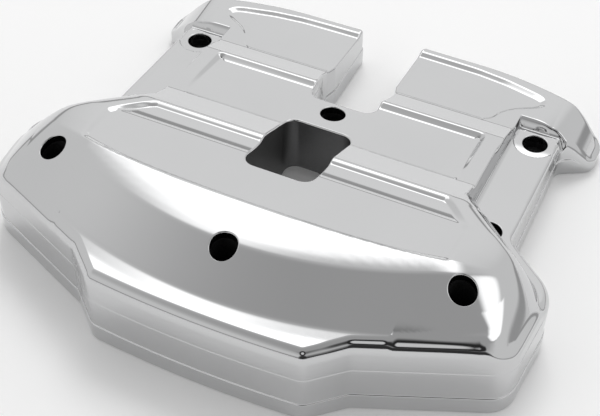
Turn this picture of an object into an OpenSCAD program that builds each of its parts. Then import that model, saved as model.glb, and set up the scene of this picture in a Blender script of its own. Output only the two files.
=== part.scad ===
// Engine valve cover, one die-cast and polished piece.
// The front points to -Y, the underside lies on Z = 0, left and right are alike about X = 0.

/* [Overall size] */
// Width across the front body at its foot
body_w = 237.6; // [228:0.4:248]
// Length from the front of the skirt to the rear edge of the wings
body_l = 206; // [198:1:218]
// Height of the ridge above the underside, the highest line of the cover
ridge_z = 51.5; // [49.5:0.5:54]
// Thickness of the cast side walls
wall = 3.6; // [2.8:0.2:4.4]
// Thickness of the cast roof
roof = 3.8; // [3:0.2:4.6]

/* [Front outline] */
// Radius of the shallow bow along the front
bow_r = 515; // [400:5:700]
// Half width of the front lobe, to the start of its slanted flank
lobe_half_w = 46.4; // [42:0.2:50]
// Length over which the front lobe runs into the body
lobe_l = 50; // [40:1:60]
// Angle between the lobe's flank and straight ahead
flank_angle = 41.5; // [36:0.5:47]
// Distance from the middle of the front edge to the lines of the oblique front walls
oblique_in = 9.5718; // [7:0.1:11.6]
// Angle between an oblique front wall and the width direction
oblique_angle = 22.4; // [20:0.2:25]
// Rounding of the outer front corners
front_corner_r = 13; // [9:0.5:16]
// Distance of that corner's centre from the outermost side line
front_corner_in = 14.8; // [14:0.1:16]
// Distance from the front edge to that corner's centre
front_corner_back = 46.7; // [44:0.1:50]
// Rounding of the outer rear corners of the front body
rear_corner_r = 20; // [16:0.5:24]
// Distance from the front edge to that corner's centre
rear_corner_back = 70.6; // [68:0.1:74]
// Angle between the slanted rear flank and straight to the side
shoulder_angle = 49.5; // [46:0.5:53]
// Rounding where two walls meet in plan, outward corners
corner_out_r = 7; // [4:0.5:9]
// Rounding where two walls meet in plan, inward corners
corner_in_r = 6; // [4:0.5:8]

/* [Rear outline] */
// Width over the two side strips at their foot
strip_w = 189.4; // [184:0.4:194]
// Reach of the wing tips beyond the strips
wing_out = 14.9; // [11.4:0.1:18]
// Distance from the rear edge to the front of the wing tips
wing_l = 28; // [25:0.5:31]
// Half width of the straight part of the rear edge
sweep_start = 45; // [35:1:60]
// Sweep of the rear edge towards the wing tips
wing_sweep = 15; // [11:0.5:18]
// Width of the notch between the wings
notch_w = 29.6; // [26:0.2:34]
// Length of the notch, from the rear edge inwards
notch_l = 64; // [58:0.5:68]
// Rounding at the blind end of the notch
notch_r = 5; // [3:0.5:8]
// Extra width of the notch where the front ramp crosses it
notch_waist = 3.4; // [0.4:0.2:5]
// Length over which the notch widens there
waist_run = 5; // [4:0.5:7]

/* [Skirt] */
// Height of the foot band
foot_z = 9; // [6:0.5:10]
// Height of the thin line around the wall
draft_z = 24; // [21:0.5:26]
// Set-in of the wall above the foot band
foot_step = 0.7; // [0.4:0.1:1.2]
// Set-in of the wall above the thin line
draft_step = 0.8; // [0.4:0.1:1.2]

/* [Rim] */
// Width of the rim rounding
rim_w = 3.4; // [2.4:0.1:4.2]
// Height of the rim's upper end at the front
rim_front_z = 38.7; // [37.5:0.1:39.3]
// Height of the rim rounding at the front
rim_front_h = 8.2; // [6:0.1:9]
// Rise of the rim from the oblique walls to the middle of the front
rim_lift = 0.3; // [0.2:0.05:0.6]
// Height of the rim's upper end at the sides
rim_side_z = 32; // [30.5:0.1:33.5]
// Height of the rim rounding at the sides
rim_side_h = 5; // [4:0.1:6]
// Height of the rim's upper end at the rear corners of the front body
rim_rear_z = 27; // [26:0.1:28]
// Width of the flat leaf between rim and rear flank
leaf_w = 1.4; // [0.8:0.1:2.4]
// Steepness of the sides above the rim
side_rise = 0.62; // [0.55:0.01:0.7]
// Bend of the sides above the rim
side_bend = 0.002; // [0.001:0.0005:0.003]
// Steepness of the rear flank at its foot
rear_rise = 2.6; // [2.2:0.1:3]
// Bend of the rear flank
rear_bend = 0.075; // [0.06:0.005:0.09]

/* [Front slope] */
// Distance from the front edge to the foot of the slope
slope_back = 12.3; // [11:0.1:14]
// Radius of the slope's foot, seen from above
slope_foot_r = 194.3; // [180:0.5:210]
// Height of the slope's foot
slope_foot_z = 39.5; // [38.5:0.1:40.5]
// Length of the slope, seen from above
slope_run = 20.3; // [18:0.1:22]
// Height of the crease at the top of the slope
crease_z = 49.8; // [48.5:0.1:51]
// Fall of the shelf in front of the slope
shelf_fall = 0.8; // [0.4:0.1:1.5]
// Width over which the shelf falls
shelf_w = 6; // [4:0.5:8]

/* [Top steps] */
// Distance from the front edge to the ridge
ridge_back = 52.6; // [50:0.1:55]
// Length of the upper deck, from the ridge to its knee
upper_l = 29.5; // [26:0.5:33]
// Height of the knee
knee_z = 46.9; // [45.5:0.1:47.5]
// Length of the flank behind the knee
flank_l = 15.7; // [13:0.1:18]
// Height of the edge over the first ramp
rib_z = 42.4; // [41:0.1:43.5]
// Length of the first ramp
first_ramp_l = 17.1; // [14:0.1:20]
// Height of the middle deck at its front
mid_front_z = 34.5; // [33:0.1:36]
// Height of the edge over the second ramp
mid_rear_z = 29.5; // [28.5:0.1:30.5]
// Length of the second ramp
second_ramp_l = 14; // [11:0.1:17]
// Length of the rear deck, from the second ramp to the rear edge
rear_deck_l = 40.6; // [37:0.1:44]
// Height of the rear deck at its front
rear_front_z = 23.5; // [22.5:0.1:24.5]
// Height of the rear rim
rear_rim_z = 20; // [19:0.1:21]
// Width of the rear rim
rear_rim_l = 4.5; // [3:0.1:6]

/* [Sunken panels] */
// Distance from the ridge to the front edge of the front panel
front_panel_gap = 0.9; // [0.6:0.1:1.6]
// Depth of the front panel along its front edge
front_panel_h = 0.8; // [0.5:0.1:1.2]
// Depth of the front panel under the knee
knee_h = 1.1; // [0.7:0.1:1.5]
// Height of the floor at the foot of the rib
rib_foot_z = 41.7; // [40.6:0.1:42.1]
// Width of the rib's sloping side
rib_l = 3.3; // [2.5:0.1:4]
// Half width of the front panel
front_panel_w = 80.4; // [78:0.1:81.5]
// Half width of the rib at its end
rib_w = 67; // [64:0.5:69]
// Radius of the ridge, seen from above
ridge_r = 545; // [480:5:620]
// Half width of the middle panel
mid_panel_w = 65.2; // [62:0.1:68]
// Depth of the middle panel at its rear
mid_panel_h = 1.6; // [1:0.1:1.9]
// Width of the sloping side at its rear
mid_bead_l = 4.2; // [3:0.1:5]
// Depth of the rear panel at its rear
rear_panel_h = 1.3; // [0.8:0.1:1.6]
// Width of the sloping side at its rear
rear_step_l = 3; // [2:0.1:4]
// Half width of the rear panel in front, beside the screw recesses
rear_panel_w = 62.8; // [60:0.2:64]
// Spread of the rear panel beside the screw recesses
rear_panel_flare = 2; // [1:0.1:2.4]
// Half width of the rear panel behind the screw recesses
rear_panel_end_w = 79; // [76:0.2:80]
// Distance from the wings' front wall to the outer end of the rear panel
rear_panel_end_l = 12; // [11:0.1:13]
// Bulge of the rear panel's outer end
rear_panel_bulge = 3; // [2:0.1:3.4]
// Rounding of the panels' corners in plan
panel_r = 3; // [2:0.5:4]

/* [Side parts] */
// Half width of the raised middle over the strips, at the top
deck_half_w = 71.5; // [69:0.1:73]
// Spread of the raised middle's side walls towards their foot
deck_spread = 2.4; // [1:0.1:4]
// Height of the side strips at the middle screw pair
strip_front_z = 26.7; // [25:0.1:28]
// Height of the side strips at the rear screws
strip_rear_z = 19.627; // [19:0.1:20.9]
// Bevel along the outer edge of the side strips
strip_bevel = 1.6; // [1:0.1:2.4]
// Depth of that bevel's steep part as a multiple of its width
strip_bevel_drop = 3.5; // [2.5:0.1:4]
// Distance from the rear edge to the front wall of the wings
wing_front_back = 29; // [26:0.5:32]
// Distance from that wall to where the wings leave the strips, in plan
wing_neck = 7.5; // [6:0.5:9]
// Height of the wing tips' upright edge
wing_tip_z = 5.5; // [4:0.5:8]
// Slant of the wings' front wall towards its foot
wing_slant = 4; // [1:0.5:6]
// Width over which the wings round down to their tips
wing_round_w = 20; // [16:0.5:24]
// Fullness of that rounding, 1 being a straight bevel
wing_round_power = 1.6; // [1.3:0.1:2]
// Height by which the wings' outline stands over the panels that cut it
wing_crown = 1; // [0.6:0.1:1.4]

/* [Window] */
// Width of the window
window_w = 31; // [27:0.5:35]
// Distance from the centre screw to the window's rear side
window_gap = 12.4; // [11:0.1:17]
// Distance from the front edge to the window's front side
window_back = 76; // [75.5:0.1:79]
// Rounding of the window's corners
window_r = 5.5; // [4:0.5:8]
// Height of the lower end of the window's walls
window_wall_z = 4.5; // [2:0.5:8]

/* [Screw holes] */
// Diameter of the counterbores
head_d = 10.9; // [10:0.1:11.6]
// Diameter of the screw holes below the counterbores
screw_d = 6.8; // [6:0.1:7.2]
// Height of the screw seats above the underside
seat_z = 12; // [9:0.5:15]
// Thickness of the screw bosses around the counterbores
boss_wall = 3.25; // [2.85:0.1:4]
// Distance from the strips' edge to the side screws
side_screw_in = 10.7; // [9.7:0.1:11.7]
// Distance from the rear edge to the rear screws
rear_pair_back = 41.2; // [39:0.1:43]
// Distance from the front edge to the middle side screws
mid_screw_back = 100.5; // [98.8:0.1:102.8]
// Distance from the outermost side line to the front corner screws
front_screw_in = 29.7; // [28.8:0.1:31.3]
// Distance from the front edge to the front corner screws
front_pair_back = 51; // [49:0.1:53]
// Distance from the front edge to the front middle screw
front_screw_back = 31.2; // [29:0.1:33]
// Distance from the blind end of the notch to the boss of the centre screw
centre_boss_gap = 0.2; // [0:0.1:0.8]
// Width of the shallow recess around the rear counterbores
recess_w = 4.05; // [3.05:0.1:4.5]
// Depth of that recess's floor below the strip at the screw
recess_h = 0.127; // [0.1:0.1:1.1]

/* [Hidden] */
front_y = -body_l / 2;
rear_y = body_l / 2;
// Height above the cover, reach beyond it and depth below it up to which shapes are drawn
above = 64;
far = 320;
below = 2;
// How far shapes stand clear of the walls that cut them
clear = 8;
// How far the rim rounding starts outside the wall
rim_over = 0.1;
// Slight lean of the faces that stay above the cover
lean = 0.2;
// Longest rise of a side, seen from above
rise_max = 52;
wall_step = foot_step + draft_step;
slope_axis_y = front_y + slope_back + slope_foot_r;
ridge_y = front_y + ridge_back;
knee_y = ridge_y + upper_l;
rib_y = knee_y + flank_l;
mid_front_y = rib_y + first_ramp_l;
rear_front_y = rear_y - rear_deck_l;
mid_rear_y = rear_front_y - second_ramp_l;
rear_step_y = rear_y - rear_rim_l;
front_corner_x = body_w / 2 - front_corner_in;
front_corner_y = front_y + front_corner_back;
rear_corner_x = body_w / 2 - rear_corner_r;
rear_corner_y = front_y + rear_corner_back;
rear_screw_y = rear_y - rear_pair_back;
mid_screw_y = front_y + mid_screw_back;
notch_y = rear_y - notch_l;
wing_y = rear_y - wing_front_back;
wing_w = strip_w + 2 * wing_out;
boss_d = head_d + 2 * boss_wall;
centre_screw_y = notch_y - centre_boss_gap - boss_d / 2;
window_y = front_y + window_back;
window_l = centre_screw_y - window_gap - window_y;
recess_d = head_d + 2 * recess_w;
recess_z = strip_rear_z - recess_h;
// Fall of the side strips per millimetre towards the rear
strip_fall = (strip_front_z - strip_rear_z) / (rear_screw_y - mid_screw_y);
front_screw_x = body_w / 2 - front_screw_in;
side_screw_x = strip_w / 2 - side_screw_in;
oblique_dir = oblique_angle - 90;
oblique_reach = oblique_in - front_y * cos(oblique_angle);
flank_dir = flank_angle - 90;
// Direction of the outermost side line, where the front and rear corners meet
side_dir = -7;
// Direction in which the rim stops falling fast and the sides start to steepen towards the rear
rim_end_dir = 2;
bow_fall = bow_r - sqrt(bow_r * bow_r - lobe_half_w * lobe_half_w);
flank_reach = lobe_half_w * cos(flank_dir) + (front_y + bow_fall) * sin(flank_dir);
// Directions, in degrees from straight sideways, in which the rounded side is shaped
leaf_dirs = [-12, rim_end_dir];
front_dirs = concat([oblique_dir, -54, -40, -26], leaf_dirs);
rear_dirs = [18, 34, shoulder_angle];
// Share of the drop to the rib's foot that is left a quarter and half of the way along the flank
drop_left = [0.4, 0.12];
rear_screws = [[-side_screw_x, rear_screw_y], [side_screw_x, rear_screw_y]];
screws = concat(rear_screws, [
    [0, front_y + front_screw_back],
    [-front_screw_x, front_y + front_pair_back],
    [front_screw_x, front_y + front_pair_back],
    [-side_screw_x, mid_screw_y],
    [side_screw_x, mid_screw_y],
    [0, centre_screw_y]
]);

// How far the side outline reaches from the origin in a direction
function reach(a) = a <= oblique_dir
    ? oblique_reach
    : a < side_dir
        ? front_corner_x * cos(a) + front_corner_y * sin(a) + front_corner_r
        : rear_corner_x * cos(a) + rear_corner_y * sin(a) + rear_corner_r;

// Height of the rim's upper end and of its rounding in a direction
function rim_top(a) = lookup(a, [
    [oblique_dir, rim_front_z],
    [rim_end_dir, rim_side_z],
    [shoulder_angle, rim_rear_z]
]);
function rim_h(a) = lookup(a, [[oblique_dir, rim_front_h], [rim_end_dir, rim_side_h]]);

// Steepness, bend and length of the rise above the rim in a direction
function rise(a) = lookup(a, [[rim_end_dir, side_rise], [shoulder_angle, rear_rise]]);
function bend(a) = lookup(a, [[rim_end_dir, side_bend], [shoulder_angle, rear_bend]]);
function rise_l(a) = min(rise_max, rise(a) / bend(a) / 2);

// Quarter round of the rim, x inwards from the wall and z upwards
function rim_arc(a, lift = 0) = [for (t = [0 : 18 : 90])
    [rim_over - wall_step - (rim_w + rim_over) * (1 - cos(t)), rim_top(a) + lift - rim_h(a) * (1 - sin(t))]];

// Curve of the rise, from a start point inwards
function rise_curve(a, start) = [for (s = [0.125 : 0.125 : 1]) let (d = s * rise_l(a))
    [start[0] - d, start[1] + rise(a) * d - bend(a) * d * d]];

// Outer part of a side section: clear of the wall, then the quarter round
function rim_points(a, lift = 0) = concat(
    [[-far, -below], [clear, -below], [clear, rim_arc(a, lift)[0][1] - clear]],
    rim_arc(a, lift));

function last(list) = list[len(list) - 1];

// A shape with its mirror image on the other side
module both_sides() {
    children();
    mirror([1, 0, 0])
        children();
}

// What a shape and its mirror image have in common
module shared() {
    intersection() {
        children();
        mirror([1, 0, 0])
            children();
    }
}

// A section stood up at a distance from the origin, in a direction seen from above
module stand(a, distance) {
    rotate([0, 0, a])
        translate([distance, 0, 0])
            rotate([90, 0, 0])
                linear_extrude(height = 2 * far, center = true)
                    children();
}

// Side of the front body in a direction: rim with the rise above it
module side_form(a, inset) {
    curve = rise_curve(a, last(rim_arc(a)));
    stand(a, reach(a) - inset)
        polygon(concat(rim_points(a), curve, [[last(curve)[0] - lean, above], [-far, above]]));
}

// Rim alone, at a distance from the origin in a direction, open above
module rim_form(a, distance, shape, lift = 0) {
    edge = last(rim_arc(shape, lift));
    stand(a, distance)
        polygon(concat(rim_points(shape, lift), [[edge[0] - lean, above], [-far, above]]));
}

// Steep flank behind the leaf in a direction
module flank_form(a, inset) {
    start = [-wall_step - rim_w - leaf_w, rim_top(a)];
    curve = rise_curve(a, start);
    stand(a, reach(a) - inset)
        polygon(concat(
            [[-far, -below], [start[0], -below], start],
            curve,
            [[last(curve)[0] - lean, above], [-far, above]]));
}

// Shallow bow along the front with its rim, round about an upright axis
module bow_form(inset) {
    edge = [for (p = rim_arc(oblique_dir, rim_lift)) [bow_r + p[0] - inset, p[1]]];
    translate([0, front_y + bow_r, 0])
        rotate_extrude($fn = 360)
            polygon(concat(
                [[0, -below], [bow_r + clear, -below], [bow_r + clear, edge[0][1] - clear]],
                edge,
                [[last(edge)[0] - lean, above], [0, above]]));
}

// Front lobe between its two slanted flanks
module lobe_form(inset) {
    intersection() {
        shared()
            rim_form(flank_dir, flank_reach - inset, oblique_dir, rim_lift / 2);
        translate([-far / 2, front_y - clear, -below])
            cube([far, lobe_l + clear, above + below]);
    }
}

// A profile along the length, drawn with y to the rear and z up, cut right across the cover
module across() {
    rotate([90, 0, 90])
        linear_extrude(height = 2 * far, center = true)
            children();
}

// Stepped top from the rear rim up to the ridge, before the panels are sunk into it
module profile_form() {
    across()
        polygon([
            [far, -below],
            [far, rear_rim_z],
            [rear_step_y, rear_rim_z],
            [rear_front_y, rear_front_z],
            [mid_rear_y, mid_rear_z],
            [mid_front_y, mid_front_z],
            [rib_y, rib_z],
            [knee_y, knee_z],
            [ridge_y, ridge_z],
            [ridge_y - lean, above],
            [-far, above],
            [-far, -below]
        ]);
}

// Shelf, front slope and the roll behind its crease, round about an upright axis
module slope_form() {
    crease_r = slope_foot_r - slope_run;
    roll_r = slope_axis_y - ridge_y;
    translate([0, slope_axis_y, 0])
        rotate_extrude($fn = 240)
            polygon(concat(
                [[0, -below], [slope_foot_r + far, -below], [slope_foot_r + far, slope_foot_z - shelf_fall],
                [slope_foot_r + shelf_w, slope_foot_z - shelf_fall], [slope_foot_r, slope_foot_z]],
                [for (s = [1 : -0.2 : 0])
                    [roll_r + (crease_r - roll_r) * s, ridge_z - (ridge_z - crease_z) * s * s]],
                [[roll_r - clear, above], [0, above]]));
}

// Raised middle with its sloping side walls
module deck_form(inset) {
    foot = deck_half_w + deck_spread - inset;
    top = deck_half_w - inset;
    translate([0, ridge_y - clear, 0])
        rotate([90, 0, 180])
            linear_extrude(height = far)
                polygon([
                    [-foot, -below],
                    [foot, -below],
                    [foot, rear_rim_z],
                    [top, rib_z],
                    [top, above],
                    [-top, above],
                    [-top, rib_z],
                    [-foot, rear_rim_z]
                ]);
}

// Half of the wings' section across, rounding down to the tips
function wing_round(inset) = [for (s = [0 : 0.1 : 1])
    [wing_w / 2 - wall_step - inset - wing_round_w * (1 - s),
    wing_tip_z + (rear_rim_z + wing_crown - wing_tip_z) * (1 - pow(s, wing_round_power))]];

module wing_form(inset) {
    foot_y = wing_y - wing_slant + inset;
    intersection() {
        both_sides()
            rotate([90, 0, 0])
                linear_extrude(height = 2 * far, center = true)
                    polygon(concat(
                        [[-clear, -below],
                        [-clear, above],
                        [deck_half_w, above],
                        [deck_half_w, rear_front_z + wing_crown]],
                        wing_round(inset),
                        [[wing_w / 2 + clear, wing_tip_z], [wing_w / 2 + clear, -below]]));
        across()
            polygon([
                [foot_y, -below],
                [foot_y, rear_rim_z - 2 * wing_crown],
                [wing_y + inset, rear_front_z],
                [wing_y + inset, above],
                [far, above],
                [far, -below]
            ]);
    }
}

// Outer half of the strips' section, its bevel carried on beyond the wall
function strip_edge(edge) = [
    [edge - strip_bevel, 0],
    [edge - strip_bevel / 3, -strip_bevel / 2],
    [edge + strip_bevel / 3, -strip_bevel * strip_bevel_drop],
    [edge + strip_bevel / 3, -above]
];

// Side strips, falling gently to the rear, with a bevelled outer edge
module strip_form(inset) {
    edge = strip_edge(strip_w / 2 - wall_step - inset);
    translate([0, mid_screw_y, strip_front_z])
        rotate([-atan(strip_fall), 0, 0])
            rotate([90, 0, 0])
                linear_extrude(height = far, center = true)
                    polygon(concat(edge, [for (i = [len(edge) - 1 : -1 : 0]) [-edge[i][0], edge[i][1]]]));
}

// The strips' surface carried on round the rear corners of the front body
module leaf_form(inset) {
    intersection() {
        translate([0, mid_screw_y, strip_front_z])
            rotate([-atan(strip_fall), 0, 0])
                translate([-far / 2, -far / 2, -far])
                    cube([far, far, far]);
        intersection_for (a = concat(leaf_dirs, rear_dirs))
            shared()
                rim_form(a, reach(a) - inset, a);
        translate([-far / 2, front_y, -below])
            cube([far, rear_screw_y - front_y, above]);
    }
}

// Main body in front, its rounded sides and steep rear flanks
module body_form(inset) {
    intersection() {
        bow_form(inset);
        union() {
            intersection() {
                intersection_for (a = front_dirs)
                    shared()
                        side_form(a, inset);
                intersection_for (a = rear_dirs)
                    shared()
                        flank_form(a, inset);
            }
            lobe_form(inset);
        }
    }
}

// Everything under the outer surface, let in from the sides by the given amount
module tops(inset) {
    intersection() {
        profile_form();
        slope_form();
        union() {
            deck_form(inset);
            wing_form(inset);
            body_form(inset);
        }
    }
    strip_form(inset);
    leaf_form(inset);
}

// Outer corners of the front body in plan, from the oblique wall round to the rear flank
function corner_points() = concat(
    [for (i = [0 : 8]) let (a = oblique_dir + (side_dir - oblique_dir) * i / 8)
        [front_corner_x + front_corner_r * cos(a), front_corner_y + front_corner_r * sin(a)]],
    [for (i = [0 : 8]) let (a = side_dir + (shoulder_angle - side_dir) * i / 8)
        [rear_corner_x + rear_corner_r * cos(a), rear_corner_y + rear_corner_r * sin(a)]]);

// Outline of the front body in plan
module body_plan() {
    front = [0, oblique_reach / sin(oblique_dir)];
    rear = [0, reach(shoulder_angle) / sin(shoulder_angle)];
    intersection() {
        translate([0, front_y + bow_r])
            circle(r = bow_r, $fn = 360);
        union() {
            both_sides()
                polygon(concat([front], corner_points(), [rear]));
            intersection() {
                shared()
                    rotate(flank_dir)
                        translate([flank_reach - far, -far])
                            square([far, 2 * far]);
                translate([-far / 2, front_y])
                    square([far, lobe_l]);
            }
        }
    }
}

// Outline of the wings in plan, swept back to the tips
module wing_plan() {
    half = wing_w / 2;
    sweep = [for (s = [0 : 0.1 : 1]) [half - (half - sweep_start) * s, rear_y - wing_sweep * pow(1 - s, 2)]];
    both_sides()
        polygon(concat(
            [[-clear, mid_screw_y],
            [strip_w / 2, mid_screw_y],
            [strip_w / 2, wing_y - wing_neck],
            [half, rear_y - wing_l]],
            sweep,
            [[-clear, rear_y]]));
}

module notch_plan() {
    half = notch_w / 2;
    wide = half + notch_waist / 2;
    side = [
        [half, rear_y + clear],
        [half, rear_front_y + waist_run],
        [wide, rear_front_y - waist_run / 5],
        [wide, rear_front_y - waist_run],
        [half, mid_rear_y],
        [half, notch_y]
    ];
    offset(r = notch_r)
        offset(delta = -notch_r)
            polygon(concat(side, [for (i = [len(side) - 1 : -1 : 0]) [-side[i][0], side[i][1]]]));
}

module window_plan() {
    translate([-window_w / 2, window_y])
        offset(r = window_r)
            offset(delta = -window_r)
                square([window_w, window_l]);
}

// Outline of the whole cover in plan, with the notch
module cover_plan() {
    difference() {
        offset(r = -corner_in_r, $fn = 48)
            offset(r = corner_in_r + corner_out_r, $fn = 48)
                offset(delta = -corner_out_r)
                    union() {
                        body_plan();
                        wing_plan();
                    }
        notch_plan();
    }
}

// Upright walls of the cover, with the foot band and the thin line as small steps
module walls() {
    linear_extrude(height = foot_z)
        difference() {
            cover_plan();
            window_plan();
        }
    translate([0, 0, foot_z])
        linear_extrude(height = draft_z - foot_z)
            difference() {
                offset(delta = -foot_step)
                    cover_plan();
                window_plan();
            }
    translate([0, 0, draft_z])
        linear_extrude(height = above - draft_z)
            difference() {
                offset(delta = -wall_step)
                    cover_plan();
                window_plan();
            }
}

// Room inside the walls; the window's walls end a little above the underside
module room_plan() {
    offset(delta = -wall - wall_step)
        cover_plan();
}

module room() {
    intersection() {
        translate([0, 0, -roof])
            tops(wall);
        union() {
            translate([0, 0, -below])
                linear_extrude(height = window_wall_z + below)
                    room_plan();
            linear_extrude(height = above)
                difference() {
                    room_plan();
                    offset(delta = wall)
                        window_plan();
                }
        }
    }
}

// Space over a panel's floor, given along the length, within a plan outline
module sunk(floor) {
    intersection() {
        translate([0, 0, foot_z])
            linear_extrude(height = above)
                offset(r = panel_r, $fn = 32)
                    offset(delta = -panel_r)
                        children();
        across()
            polygon(concat(floor, [[last(floor)[0], above], [floor[0][0], above]]));
    }
}

// Front panel between ridge and rib, its rear corners cut off aslant
module front_panel() {
    drop = knee_z - knee_h - rib_foot_z;
    sunk([
        [ridge_y, ridge_z - front_panel_h],
        [knee_y, knee_z - knee_h],
        [knee_y + flank_l / 4, rib_foot_z + drop * drop_left[0]],
        [knee_y + flank_l / 2, rib_foot_z + drop * drop_left[1]],
        [rib_y - rib_l, rib_foot_z],
        [rib_y + rib_l, 2 * rib_z - rib_foot_z]
    ])
        intersection() {
            translate([0, ridge_y + front_panel_gap + ridge_r])
                circle(r = ridge_r, $fn = 360);
            polygon([
                [-front_panel_w, ridge_y - clear],
                [front_panel_w, ridge_y - clear],
                [front_panel_w, knee_y],
                [rib_w, rib_y],
                [rib_w, rib_y + clear],
                [-rib_w, rib_y + clear],
                [-rib_w, rib_y],
                [-front_panel_w, knee_y]
            ]);
        }
}

module mid_panel() {
    sunk([
        [mid_front_y, mid_front_z - lean],
        [mid_rear_y - mid_bead_l, mid_rear_z - mid_panel_h],
        [mid_rear_y + mid_bead_l, mid_rear_z + mid_panel_h]
    ])
        translate([-mid_panel_w, mid_front_y])
            square([2 * mid_panel_w, mid_rear_y - mid_front_y + clear]);
}

// Rear panel, stepping outwards behind the screw recesses and swept back like the rear edge
module rear_panel() {
    end_y = wing_y + rear_panel_end_l;
    side = [
        [rear_panel_w - panel_r, rear_front_y],
        [rear_panel_w, rear_front_y + panel_r],
        [rear_panel_w + rear_panel_flare, rear_screw_y + recess_d / 2],
        [rear_panel_w + 3 * rear_panel_flare, wing_y + rear_panel_flare],
        [rear_panel_end_w, end_y - 1.5 * rear_panel_bulge],
        [rear_panel_end_w + rear_panel_bulge, end_y],
        [rear_panel_end_w - rear_panel_bulge, end_y + 2 * rear_panel_bulge],
        [(sweep_start + rear_panel_end_w) / 2, rear_step_y - rear_panel_bulge],
        [sweep_start, rear_step_y]
    ];
    sunk([
        [rear_front_y, rear_front_z - lean],
        [rear_step_y - rear_step_l, rear_rim_z - rear_panel_h],
        [rear_step_y + rear_step_l, rear_rim_z + rear_panel_h]
    ])
        polygon(concat(side, [for (i = [len(side) - 1 : -1 : 0]) [-side[i][0], side[i][1]]]));
}

// Bosses that the screws pass through, standing on the underside
module bosses() {
    for (p = screws)
        translate([p[0], p[1], 0])
            cylinder(d = boss_d, h = above, $fn = 96);
}

module screw_cuts() {
    for (p = screws) {
        translate([p[0], p[1], -below])
            cylinder(d = screw_d, h = above, $fn = 96);
        translate([p[0], p[1], seat_z])
            cylinder(d = head_d, h = above, $fn = 96);
    }
    for (p = rear_screws)
        translate([p[0], p[1], recess_z])
            cylinder(d = recess_d, h = above, $fn = 96);
}

module cover() {
    color([0.78, 0.79, 0.8])
        difference() {
            intersection() {
                walls();
                tops(0);
            }
            difference() {
                room();
                bosses();
            }
            front_panel();
            mid_panel();
            rear_panel();
            screw_cuts();
        }
}

cover();
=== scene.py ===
import math

import bpy
import numpy as np
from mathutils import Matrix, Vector
from mathutils.geometry import delaunay_2d_cdt


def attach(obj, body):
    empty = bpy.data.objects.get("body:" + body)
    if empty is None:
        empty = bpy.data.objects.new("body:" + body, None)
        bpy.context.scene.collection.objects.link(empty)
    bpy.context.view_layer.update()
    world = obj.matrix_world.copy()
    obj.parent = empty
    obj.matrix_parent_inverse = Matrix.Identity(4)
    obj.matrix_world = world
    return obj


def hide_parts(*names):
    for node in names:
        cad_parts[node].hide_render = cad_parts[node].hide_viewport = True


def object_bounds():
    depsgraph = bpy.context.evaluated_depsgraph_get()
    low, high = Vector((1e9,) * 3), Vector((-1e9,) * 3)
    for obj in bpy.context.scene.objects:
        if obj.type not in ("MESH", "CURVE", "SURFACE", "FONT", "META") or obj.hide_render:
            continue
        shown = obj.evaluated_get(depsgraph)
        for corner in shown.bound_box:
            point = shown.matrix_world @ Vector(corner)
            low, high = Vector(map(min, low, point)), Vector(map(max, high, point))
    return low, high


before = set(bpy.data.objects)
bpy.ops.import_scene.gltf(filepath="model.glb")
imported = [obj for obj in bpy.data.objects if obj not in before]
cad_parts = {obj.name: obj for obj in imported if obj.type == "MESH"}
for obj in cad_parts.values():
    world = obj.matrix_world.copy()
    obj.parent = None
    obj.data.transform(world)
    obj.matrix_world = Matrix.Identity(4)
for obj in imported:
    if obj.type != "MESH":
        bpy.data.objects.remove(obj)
cad_low, cad_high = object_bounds()

# Sizes in millimetres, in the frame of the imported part: front to -Y, underside on Z = 0
FRONT_Y = -103.0
REAR_Y = 103.0
TOP_Z = 51.5
# Radius of the bowed front edge, and half the width of the bow
BOW_R = 515.0
BOW_HALF = 46.4
# Directions that the walls of the right half face, in degrees from +X
OBLIQUE = -67.6
FLANK = -48.5
SIDE = -7.0
SHOULDER = 49.5
# Distance of the oblique front wall from the origin
OBLIQUE_REACH = 104.8
# Right corners of the front body: x, y and radius
FRONT_CORNER = (104.0, -56.3, 13.0)
REAR_CORNER = (98.8, -32.4, 20.0)
# Edges of the side strips and of the wing tips
STRIP_X = 94.7
WING_X = 109.6
# Heights of the two lines round the walls, where the wall steps in
FOOT_Z = 9.0
DRAFT_Z = 24.0
# Conical slope at the front: its axis, the radii of its foot, crease and ridge, and its heights
SLOPE_AXIS = 103.6
SLOPE_FOOT_R = 194.3
CREASE_R = 174.0
RIDGE_R = 154.0
SLOPE_FOOT_Z = 39.5
RIDGE_FALL = 0.02
ROLL_FALL = 1.7
# Rear notch and window: half width, ends and corner radius
NOTCH_HALF = 14.8
NOTCH_END = 39.0
NOTCH_STEP = 1.7
WINDOW = (15.5, -27.0, 17.7, 5.5)
WINDOW_FOOT_Z = 4.5
# Screw places with their counterbores, clearance holes and bosses
SEAT_Z = 12.0
BORE_R = 5.45
SCREW_R = 3.4
BOSS_R = 8.7
MIDDLE_SCREW_Y = -2.5
REAR_SCREW_Y = 61.8
SIDE_SCREW_X = 84.0
FRONT_SCREW_X = 89.1
SCREWS = [
    (0.0, -71.8), (-FRONT_SCREW_X, -52.0), (FRONT_SCREW_X, -52.0), (-SIDE_SCREW_X, MIDDLE_SCREW_Y),
    (SIDE_SCREW_X, MIDDLE_SCREW_Y), (-SIDE_SCREW_X, REAR_SCREW_Y), (SIDE_SCREW_X, REAR_SCREW_Y), (0.0, 30.1)]
# Thickness of the window's walls and of the roof
WALL = 3.6
ROOF = 3.8


def cosd(a):
    return math.cos(math.radians(a))


def sind(a):
    return math.sin(math.radians(a))


# Blends and curves for the height of the top
def smin(a, b, k):
    """The lower of two heights, rounded over where they lie within k of each other."""
    h = np.maximum(k - np.abs(a - b), 0.0)
    return np.minimum(a, b) - h * h / (4.0 * k)


def smax(a, b, k):
    return -smin(-a, -b, k)


BEVEL_SOFT = 0.22


def bevel(t):
    """Straight side of a pocket, softened where it starts and ends."""
    return smin(smax(t, 0.0 * t, BEVEL_SOFT), 1.0 + 0.0 * t, BEVEL_SOFT)


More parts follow.
